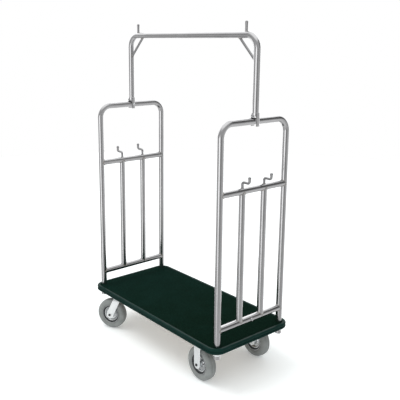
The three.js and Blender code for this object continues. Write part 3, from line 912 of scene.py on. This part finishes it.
def add_carpet():
    """A closed sheet whose pile is modelled as a fine, uneven surface that turns down at the edge."""
    inset = DECK_X - carpet_high[0]
    half_x, half_y = carpet_high[0], carpet_high[1]
    radius = DECK_CORNER_R - inset
    count_x = int(2 * half_x / PILE_PITCH)
    count_y = int(2 * half_y / PILE_PITCH)
    top = carpet_high[2]
    core_x, core_y = half_x - radius, half_y - radius

    def depth_inside(x, y):
        dx, dy = abs(x) - core_x, abs(y) - core_y
        if dx > 0 and dy > 0:
            return radius - math.hypot(dx, dy)
        return min(half_x - abs(x), half_y - abs(y))

    work = bmesh.new()
    grid = {}
    for i in range(count_x + 1):
        for j in range(count_y + 1):
            x = -half_x + 2 * half_x * i / count_x
            y = -half_y + 2 * half_y * j / count_y
            if depth_inside(x, y) > -1e-6:
                grid[i, j] = work.verts.new((x, y, top))
    for i in range(count_x):
        for j in range(count_y):
            corners = [grid.get(k) for k in ((i, j), (i + 1, j), (i + 1, j + 1), (i, j + 1))]
            if all(corners):
                work.faces.new(corners)
    for vert in [v for v in work.verts if not v.link_faces]:
        work.verts.remove(vert)
    rim = [v for v in work.verts if v.is_boundary]
    for vert in rim:
        x, y = vert.co.x, vert.co.y
        dx, dy = abs(x) - core_x, abs(y) - core_y
        if dx > 0 and dy > 0:
            grow = radius / math.hypot(dx, dy)
            vert.co.x = math.copysign(core_x + dx * grow, x)
            vert.co.y = math.copysign(core_y + dy * grow, y)
    for vert in work.verts:
        x, y = vert.co.x, vert.co.y
        fine = noise.noise(Vector((x, y, 0)) * 240)
        coarse = noise.noise(Vector((x, y, 4)) * 38)
        edge = max(0.0, 1 - depth_inside(x, y) / (5 * MM))
        vert.co.z = top - PILE_DEPTH * (0.55 - 0.45 * fine - 0.25 * coarse) - 1.6 * MM * edge * edge
    skirt = bmesh.ops.extrude_edge_only(work, edges=[e for e in work.edges if e.is_boundary])
    for made in skirt["geom"]:
        if isinstance(made, bmesh.types.BMVert):
            made.co.z = carpet_low[2]
    bmesh.ops.contextual_create(work, geom=[e for e in work.edges if e.is_boundary])
    bmesh.ops.recalc_face_normals(work, faces=work.faces)
    mesh = bpy.data.meshes.new("deck_carpet_pile")
    work.to_mesh(mesh)
    work.free()
    mesh.shade_smooth()
    mesh.set_sharp_from_angle(angle=math.radians(60))
    made = thing("deck_carpet_pile", mesh, CARPET)
    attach(made, "cart")
    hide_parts("deck_carpet")


# ---- casters
class Caster:
    """Where a caster stands and points, from the frame's joints and boxes."""

    def __init__(self, name):
        places = {joint["name"]: np.array(joint["pos_m"]) for joint in frame["joints"]}
        self.name = name
        self.swivels = f"{name}_swivel" in places
        self.body = f"{name}_caster" if self.swivels else "cart"
        self.axle = places[f"{name}_roll"]
        self.centre = places.get(f"{name}_swivel", middle(f"{name}_caster_plate"))
        trail = self.axle - self.centre
        self.trail = math.hypot(trail[0], trail[1]) if self.swivels else 0.0
        self.angle = math.atan2(trail[1], trail[0]) if self.swivels else 0.0
        self.wheel_r = self.axle[2]
        self.crown = CROWN_BOTTOM if self.swivels else box(f"{name}_caster_fork")[1][2] - LEG_THICK
        self.fixed = shift(self.centre[0], self.centre[1], 0)
        self.matrix = self.fixed @ spin(self.angle)
        lay = spin(-math.pi / 2, "X")
        self.wheel = self.matrix @ shift(self.trail, 0, self.wheel_r) @ lay


PLATE_CORNER = 10 * MM
PLATE_THICK = 4 * MM
PLATE_BOLT_INSET = (14 * MM, 10 * MM)
RACE_R = 33 * MM
CUP_R = 37 * MM
CUP_TOP = 222.6 * MM
CROWN_BOTTOM = 211 * MM
CROWN_HALF = 26.5 * MM
LEG_INSIDE = 36 * MM
BEAD_R = 62 * MM
TYRE_HALF = 30 * MM
AXLE_R = 5 * MM
HEX_APOTHEM = 7.4 * MM
WASHER_R = 11.5 * MM
WASHER_THICK = 1.3 * MM
FACE_GAP = 0.3 * MM
VALVE_TURN = {"front_left": 0.95, "back_left": 2.6, "front_right": 0.4, "back_right": 4.1}


def add_plate(caster):
    low, high = box(f"{caster.name}_caster_plate")
    top = high[2]
    length, width = high[0] - low[0], high[1] - low[1]
    rows = []
    lip = 0.8 * MM
    under = top - PLATE_THICK
    for inset, z in ((lip, under), (0, under + lip), (0, top - lip / 2), (lip / 2, top)):
        half_x, half_y = length / 2 - inset, width / 2 - inset
        radius = PLATE_CORNER - inset
        row = []
        for quarter, (sx, sy) in enumerate(((1, 1), (-1, 1), (-1, -1), (1, -1))):
            for step in range(9):
                angle = math.pi / 2 * (quarter + step / 8)
                cx, cy = sx * (half_x - radius), sy * (half_y - radius)
                row.append((cx + radius * math.cos(angle), cy + radius * math.sin(angle), z))
        rows.append(row)
    shape = Shape().solid(rows)
    if caster.swivels:
        floor = CUP_TOP + 0.4 * MM
        race = [(0.0, floor), (RACE_R - 7 * MM, floor), (RACE_R - 3 * MM, floor + 2.2 * MM)]
        race += [(RACE_R, under - 3 * MM), (RACE_R + 2.5 * MM, under + 0.5 * MM), (0, under + 0.5 * MM)]
        shape.join(Shape().patch(lathe(soften(race, 3 * MM, 4), 96)))
    add(f"{caster.name}_top_plate", shape, ZINC, "cart",
        [f"{caster.name}_caster_plate"], caster.fixed)
    bolts = Shape()
    flip = spin(math.pi, "X")
    for sx in (-1, 1):
        for sy in (-1, 1):
            bolt_x = sx * (length / 2 - PLATE_BOLT_INSET[0])
            bolt_y = sy * (width / 2 - PLATE_BOLT_INSET[1])
            spot = shift(bolt_x, bolt_y, under) @ flip
            bolts.join(washer(3.6 * MM, 8 * MM, 0.0, 1.4 * MM), spot)
            turn = spin(0.7 * sx + 0.4 * sy)
            bolts.join(hexagon(5.6 * MM, 4.4 * MM), spot @ shift(0, 0, 1.4 * MM) @ turn)
    add(f"{caster.name}_plate_bolts", bolts, ZINC, "cart", (), caster.fixed)


def add_kingpin(caster):
    low, high = box(f"{caster.name}_caster_kingpin")
    head_r = (high[0] - low[0]) / 2
    top = CROWN_BOTTOM - FACE_GAP
    profile = [(0, low[2]), (0.75 * head_r, low[2]), (head_r, low[2] + 2.4 * MM), (head_r, top), (0, top)]
    shape = Shape().patch(lathe(soften(profile, 1.2 * MM, 4), 64))
    add(f"{caster.name}_kingpin_head", shape, ZINC, "cart",
        [f"{caster.name}_caster_kingpin"], caster.fixed)


def leg_edges(caster, z):
    """The leg's leading and trailing edges at a height: straight sides that run into a round toe."""
    top = caster.crown
    reach = []
    for side, x_top in ((-1, -CROWN_HALF), (1, CROWN_HALF)):
        dx, dz = x_top - caster.trail, top - caster.wheel_r
        angle = math.atan2(dz, dx) - side * math.acos(LEG_TOE_R / math.hypot(dx, dz))
        tx = caster.trail + LEG_TOE_R * math.cos(angle)
        tz = caster.wheel_r + LEG_TOE_R * math.sin(angle)
        if z >= tz:
            reach.append(x_top + (tx - x_top) * (top - z) / (top - tz))
        else:
            drop = min(abs(z - caster.wheel_r), LEG_TOE_R)
            reach.append(caster.trail + side * math.sqrt(LEG_TOE_R**2 - drop**2))
    return reach


def add_fork(caster):
    """A pressed steel yoke: one sheet bent down into two legs, with rolled edges and a domed cup."""
    half = LEG_INSIDE + LEG_THICK / 2
    top = caster.crown + LEG_THICK / 2
    toe = caster.wheel_r - LEG_TOE_R
    radius = FORK_SHOULDER_R
    line = []
    for step in range(TOE_STEPS + 1):
        part = 1 - math.cos(math.pi / 2 * step / TOE_STEPS)
        line.append(((half, toe + (caster.wheel_r + 6 * MM - toe) * part), (1.0, 0.0)))
    line.append(((half, top - radius), (1.0, 0.0)))
    for step in range(1, SHOULDER_STEPS + 1):
        angle = math.pi / 2 * step / SHOULDER_STEPS
        point = (half - radius + radius * math.cos(angle), top - radius + radius * math.sin(angle))
        line.append((point, (math.cos(angle), math.sin(angle))))
    line.append(((0.0, top), (0.0, 1.0)))
    line += [((-p[0], p[1]), (-n[0], n[1])) for p, n in line[-2::-1]]
    skins = {1: [], -1: []}
    for (y, z), (ny, nz) in line:
        front, back = leg_edges(caster, z)
        for face in (1, -1):
            row = []
            for k in range(FORK_COLUMNS + 1):
                t = k / FORK_COLUMNS
                x = front + (back - front) * t
                rim = min(x - front, back - x)
                rolled = max(0.0, 1 - rim / (2.2 * MM))
                bead = math.exp(-((rim - 6.5 * MM) / (2.4 * MM)) ** 2) if z > caster.wheel_r + 12 * MM else 0
                bead *= min(1.0, max(0.0, (z - caster.wheel_r - 12 * MM) / (30 * MM)))
                grow = face * LEG_THICK / 2 * (1 - 0.55 * rolled**2) + 1.1 * MM * bead
                row.append((x, y + ny * grow, z + nz * grow))
            skins[face].append(row)
    shape = Shape().patch(skins[1], around=False)
    shape.patch([row[::-1] for row in skins[-1]], around=False)
    for column in (0, -1):
        edge = [[row_out[column], row_in[column]] for row_out, row_in in zip(skins[1], skins[-1])]
        shape.patch(edge, around=False)
    for i in (0, -1):
        shape.patch([skins[1][i], skins[-1][i]], around=False)
    if caster.swivels:
        base = CROWN_BOTTOM + LEG_THICK - 0.6 * MM
        cup = [(CUP_R + 1.5 * MM, base), (CUP_R - 0.4 * MM, base + 2.2 * MM)]
        cup += [(CUP_R - 2 * MM, CUP_TOP - 1.5 * MM), (CUP_R - 5 * MM, CUP_TOP)]
        cup += [(8 * MM, CUP_TOP), (0, CUP_TOP)]
        dome = lathe(soften(cup, 2.2 * MM, 4), 96)
        shape.join(Shape().patch(dome).cap(dome[0]))
    add(f"{caster.name}_fork_yoke", shape, ZINC, caster.body,
        [f"{caster.name}_caster_fork"], caster.matrix, sharp=50)


def add_axle(caster):
    """The axle bolt with its head on one leg, the nut with the bolt's tail on the other, and washers."""
    face = LEG_INSIDE + LEG_THICK + FACE_GAP
    seat = face + WASHER_THICK
    flip = spin(math.pi, "X")
    discs = washer(AXLE_R + 0.2 * MM, WASHER_R, face, seat)
    discs.join(washer(AXLE_R + 0.2 * MM, WASHER_R, face, seat), flip)
    add(f"{caster.name}_axle_washers", discs, ZINC, caster.body, (), caster.wheel)
    head = Shape().join(hexagon(HEX_APOTHEM, 5 * MM), shift(0, 0, seat))
    head.join(Shape().solid(lathe([(AXLE_R, -face), (AXLE_R, seat + 1 * MM)], 48)))
    head.join(threaded(AXLE_R, face, face + 9 * MM), flip)
    add(f"{caster.name}_axle_bolt_head", head, DARK_STEEL, caster.body,
        [f"{caster.name}_axle_bolt"], caster.wheel)
    bore = AXLE_R + 0.15 * MM
    nut = Shape().join(hexagon(HEX_APOTHEM, 3.6 * MM, bore), shift(0, 0, seat))
    collar = [(bore, 0), (6.9 * MM, 0), (6.4 * MM, 1.5 * MM), (bore, 1.5 * MM)]
    nut.join(turned(collar, 0.5 * MM, 3, 64), shift(0, 0, seat + 3.6 * MM))
    add(f"{caster.name}_lock_nut", nut, DARK_STEEL, caster.body,
        [f"{caster.name}_axle_nut"], caster.wheel @ flip)


def mirrored(half):
    """A closed wheel section from its half, which runs from the outside in to the bore."""
    return half + [(radius, -width) for radius, width in reversed(half)]


def add_rim(caster):
    """Two pressed halves: bead flanges, a drop centre, a dished web with bolts, and a hub tube."""
    bead = BEAD_R - 0.3 * MM
    hub_half = 32.5 * MM
    half = inside(bead, (9.5, 7.5), (7, 18), (1.2, 23), (-0.2, 25.3), (1.4, 26.5), (4, 25.7), (7, 21.5))
    half += inside(bead, (12, 17.5), (16, 17), (18.5, 14), (22, 6.5))
    half += at((26.5, 5.2), (21.5, 8.5), (17.4, 14))
    half += [(17.0 * MM, hub_half - 1.4 * MM), (15.8 * MM, hub_half)]
    half += [(AXLE_R + 2.8 * MM, hub_half), (AXLE_R + 2.4 * MM, hub_half - 2 * MM)]
    shape = turned(mirrored(half), 1.6 * MM, 3, WHEEL_SIDES)
    for face in (0, 1):
        flip = spin(math.pi * face, "X")
        for k in range(4):
            turn = spin(TURN * (k + 0.5) / 4)
            spot = shift(34 * MM, 0, 5.6 * MM)
            shape.join(hexagon(4.6 * MM, 3.8 * MM), flip @ turn @ spot)
    body = f"{caster.name}_wheel"
    add(f"{caster.name}_rim_pressing", shape, RIM_ZINC, body,
        [f"{caster.name}_wheel_rim"], caster.wheel)
    stem = at((0, 12), (3.6, 12), (3.6, 19), (2.7, 21), (2.6, 25), (3.4, 25), (3.4, 30), (2.6, 31), (0, 31))
    valve = Shape().patch(lathe(soften(stem, 0.5 * MM, 3), 40))
    lean = spin(-0.16, "Y")
    flip = spin(0 if caster.name.endswith("left") else math.pi, "X")
    turn = spin(VALVE_TURN[caster.name])
    spot = shift(53 * MM, 0, 0)
    matrix = caster.wheel @ flip @ turn @ spot @ lean
    add(f"{caster.name}_valve_stem", valve, DARK_STEEL, body, (), matrix)


def add_painted_shade_flap(caster):
    """A thin, nearly black sheet that lines the slope inside each rim flange: painted shade for the rim's
    recess.
    """
    edge = at((58.6, 26.7), (49.8, 17.7), (49.2, 18.5), (57.9, 27.5))
    side = turned(edge, 0.4 * MM, 2, WHEEL_SIDES)
    flaps = Shape().join(side).join(side, spin(math.pi, "X"))
    add(f"{caster.name}_tyre_flaps", flaps, PAINTED_SHADE_FLAP, f"{caster.name}_wheel", (), caster.wheel)


def add_tyre(caster):
    """A ribbed tread with notched shoulders, a ringed sidewall and a bead that laps the rim."""
    radius = caster.wheel_r
    seat = BEAD_R + 0.6 * MM
    half = [(radius, 0.9 * MM)]
    groove = 1.3 * MM
    for centre in (7.0 * MM, 14.0 * MM):
        crown = radius - (centre / TYRE_HALF) ** 2 * 3 * MM
        half += [(crown - 0.25 * MM, centre - groove), (crown - 2.6 * MM, centre - 0.6 * groove)]
        half += [(crown - 2.6 * MM, centre + 0.6 * groove), (crown - 0.35 * MM, centre + groove)]
    half += inside(radius, (3, 20), (6.8, 24.4), (12, 27.6), (12.6, 28.2), (14, 28.2), (14.8, 27.9))
    half += inside(radius, (19, 29.4), (25, 29.7))
    half += inside(seat, (-10.5, 28.8), (-9.2, 29.8), (-7.2, 29.8), (-6, 28.2), (-2.6, 26.6), (-0.2, 25))
    half += inside(seat, (0, 22.5), (5.6, 17.5))
    section = half[::-1] + [(r, -w) for r, w in half]

    def notch(r, height, angle):
        shoulder = 18 * MM < abs(height) < 27.4 * MM and r > radius - 12.5 * MM
        phase = (angle * TYRE_NOTCHES / TURN + (0.5 if height > 0 else 0)) % 1
        return r - 1.5 * MM if shoulder and phase < 0.22 else r

    shape = turned(section, 1.2 * MM, 3, WHEEL_SIDES, notch)
    add(f"{caster.name}_ribbed_tyre", shape, TYRE, f"{caster.name}_wheel",
        [f"{caster.name}_tyre"], caster.wheel, sharp=44)


# ---- stage
CAMERA_AT = (2.8820, -2.4235, 1.9365)
CAMERA_PITCH = 78.27
CAMERA_ROLL = 0.09
CAMERA_YAW = 51.26
CAMERA_LENS = 55.27
CAMERA_SHIFT = (0.0698, -0.0799)


def add_camera():
    lens = bpy.data.cameras.new("view")
    lens.sensor_width = 36
    lens.lens = CAMERA_LENS
    lens.shift_x, lens.shift_y = CAMERA_SHIFT
    lens.clip_end = 100
    camera = bpy.data.objects.new("view", lens)
    camera.location = CAMERA_AT
    turn = spin(math.radians(CAMERA_YAW))
    turn = turn @ spin(math.radians(CAMERA_PITCH), "X")
    turn = turn @ spin(math.radians(CAMERA_ROLL))
    camera.rotation_euler = turn.to_euler()
    bpy.context.scene.collection.objects.link(camera)
    bpy.context.scene.camera = camera


# Bright and dark patches that only reflections see: azimuth and elevation of the middle, the angles
# from it at which the patch is full and gone, and its brightness. They are set to match the photo.
STUDIO_BASE = 0.42
STUDIO = (
    (141, 5, 45, 85, 1.5),
    (0, -90, 45, 72, 0.70),
    (0, 90, 20, 55, 1.1),
    (62, -26, 6, 26, 0.72),
    (24, -10, 4, 16, 0.56),
    (58, 20, 12, 30, 0.09),
    (-22, -8, 4, 17, 0.20),
    (286, -7, 8, 25, 1.55),
    (219, 7, 5, 16, 0.28),
    (203, -34, 6, 20, 0.30),
)
AMBIENT = 1.0
FLOOR_R = 7.0
FLOOR_GLOW = 0.19
SUN_ANGLE = 30
SUN_STRENGTH = 0.9
SUN_TILT = (0.45, 0.30, -1.0)


def mix_numbers(tree, factor, low, high):
    made = tree.nodes.new("ShaderNodeMix")
    made.data_type = "FLOAT"
    for socket, value in zip(made.inputs[:1] + made.inputs[2:4], (factor, low, high)):
        if isinstance(value, bpy.types.NodeSocket):
            tree.links.new(value, socket)
        else:
            socket.default_value = value
    return made.outputs[0]


def add_world():
    """Reflections see the studio's patches, all other light is even, and the camera sees white."""
    world = bpy.data.worlds.new("studio")
    world.use_nodes = True
    tree = world.node_tree
    background = tree.nodes["Background"]
    direction = tree.nodes.new("ShaderNodeTexCoord").outputs["Generated"]
    mirrored_in = STUDIO_BASE
    for azimuth, elevation, full, gone, brightness in STUDIO:
        a, e = math.radians(azimuth), math.radians(elevation)
        dot = tree.nodes.new("ShaderNodeVectorMath")
        dot.operation = "DOT_PRODUCT"
        tree.links.new(direction, dot.inputs[0])
        dot.inputs[1].default_value = (math.cos(e) * math.cos(a), math.cos(e) * math.sin(a), math.sin(e))
        mask = tree.nodes.new("ShaderNodeMapRange")
        mask.interpolation_type = "SMOOTHSTEP"
        mask.inputs["From Min"].default_value = math.cos(math.radians(gone))
        mask.inputs["From Max"].default_value = math.cos(math.radians(full))
        tree.links.new(dot.outputs["Value"], mask.inputs["Value"])
        mirrored_in = mix_numbers(tree, mask.outputs["Result"], mirrored_in, brightness)
    path = tree.nodes.new("ShaderNodeLightPath").outputs
    light = mix_numbers(tree, path["Is Glossy Ray"], AMBIENT, mirrored_in)
    seen = mix_numbers(tree, path["Is Camera Ray"], light, 1.0)
    tree.links.new(seen, background.inputs["Strength"])
    background.inputs["Color"].default_value = (1, 1, 1, 1)
    bpy.context.scene.world = world


def add_floor():
    work = bmesh.new()
    bmesh.ops.create_circle(work, cap_ends=True, radius=FLOOR_R, segments=96)
    mesh = bpy.data.meshes.new("floor")
    work.to_mesh(mesh)
    work.free()
    paint = Paint("pale_floor", Roughness=0.9, Specular_IOR_Level=0.1)
    cloud = paint.noise(0.8, 2, 0.5)
    paint.colour(paint.blend(cloud, (0.895, 0.930, 0.932), (0.928, 0.960, 0.962)))
    paint.shader.inputs["Emission Color"].default_value = (1, 1, 1, 1)
    paint.shader.inputs["Emission Strength"].default_value = FLOOR_GLOW
    floor = thing("floor", mesh, paint.material)
    floor.visible_glossy = False


def add_sun():
    sun = bpy.data.lights.new("overhead", "SUN")
    sun.energy = SUN_STRENGTH
    sun.angle = math.radians(SUN_ANGLE)
    lamp = bpy.data.objects.new("overhead", sun)
    lamp.rotation_euler = Vector(SUN_TILT).to_track_quat("-Z", "Y").to_euler()
    lamp.visible_glossy = False
    bpy.context.scene.collection.objects.link(lamp)


def main():
    bpy.context.scene.view_settings.view_transform = "Standard"
    add_camera()
    add_world()
    add_floor()
    add_sun()
    for name, sign in ENDS.items():
        end = End(name, sign)
        add_hoop(end)
        add_crossbars(end)
        add_slats(end)
        add_hooks(end)
        add_button(end)
        add_gusset(end)
        add_peg(end)
        add_saddle(end)
        add_screw(end)
        add_collars(end)
    add_rail()
    add_bumper()
    add_board()
    add_carpet()
    for name in CASTERS:
        caster = Caster(name)
        add_plate(caster)
        if caster.swivels:
            add_kingpin(caster)
        add_fork(caster)
        add_axle(caster)
        add_rim(caster)
        add_tyre(caster)
        add_painted_shade_flap(caster)


main()
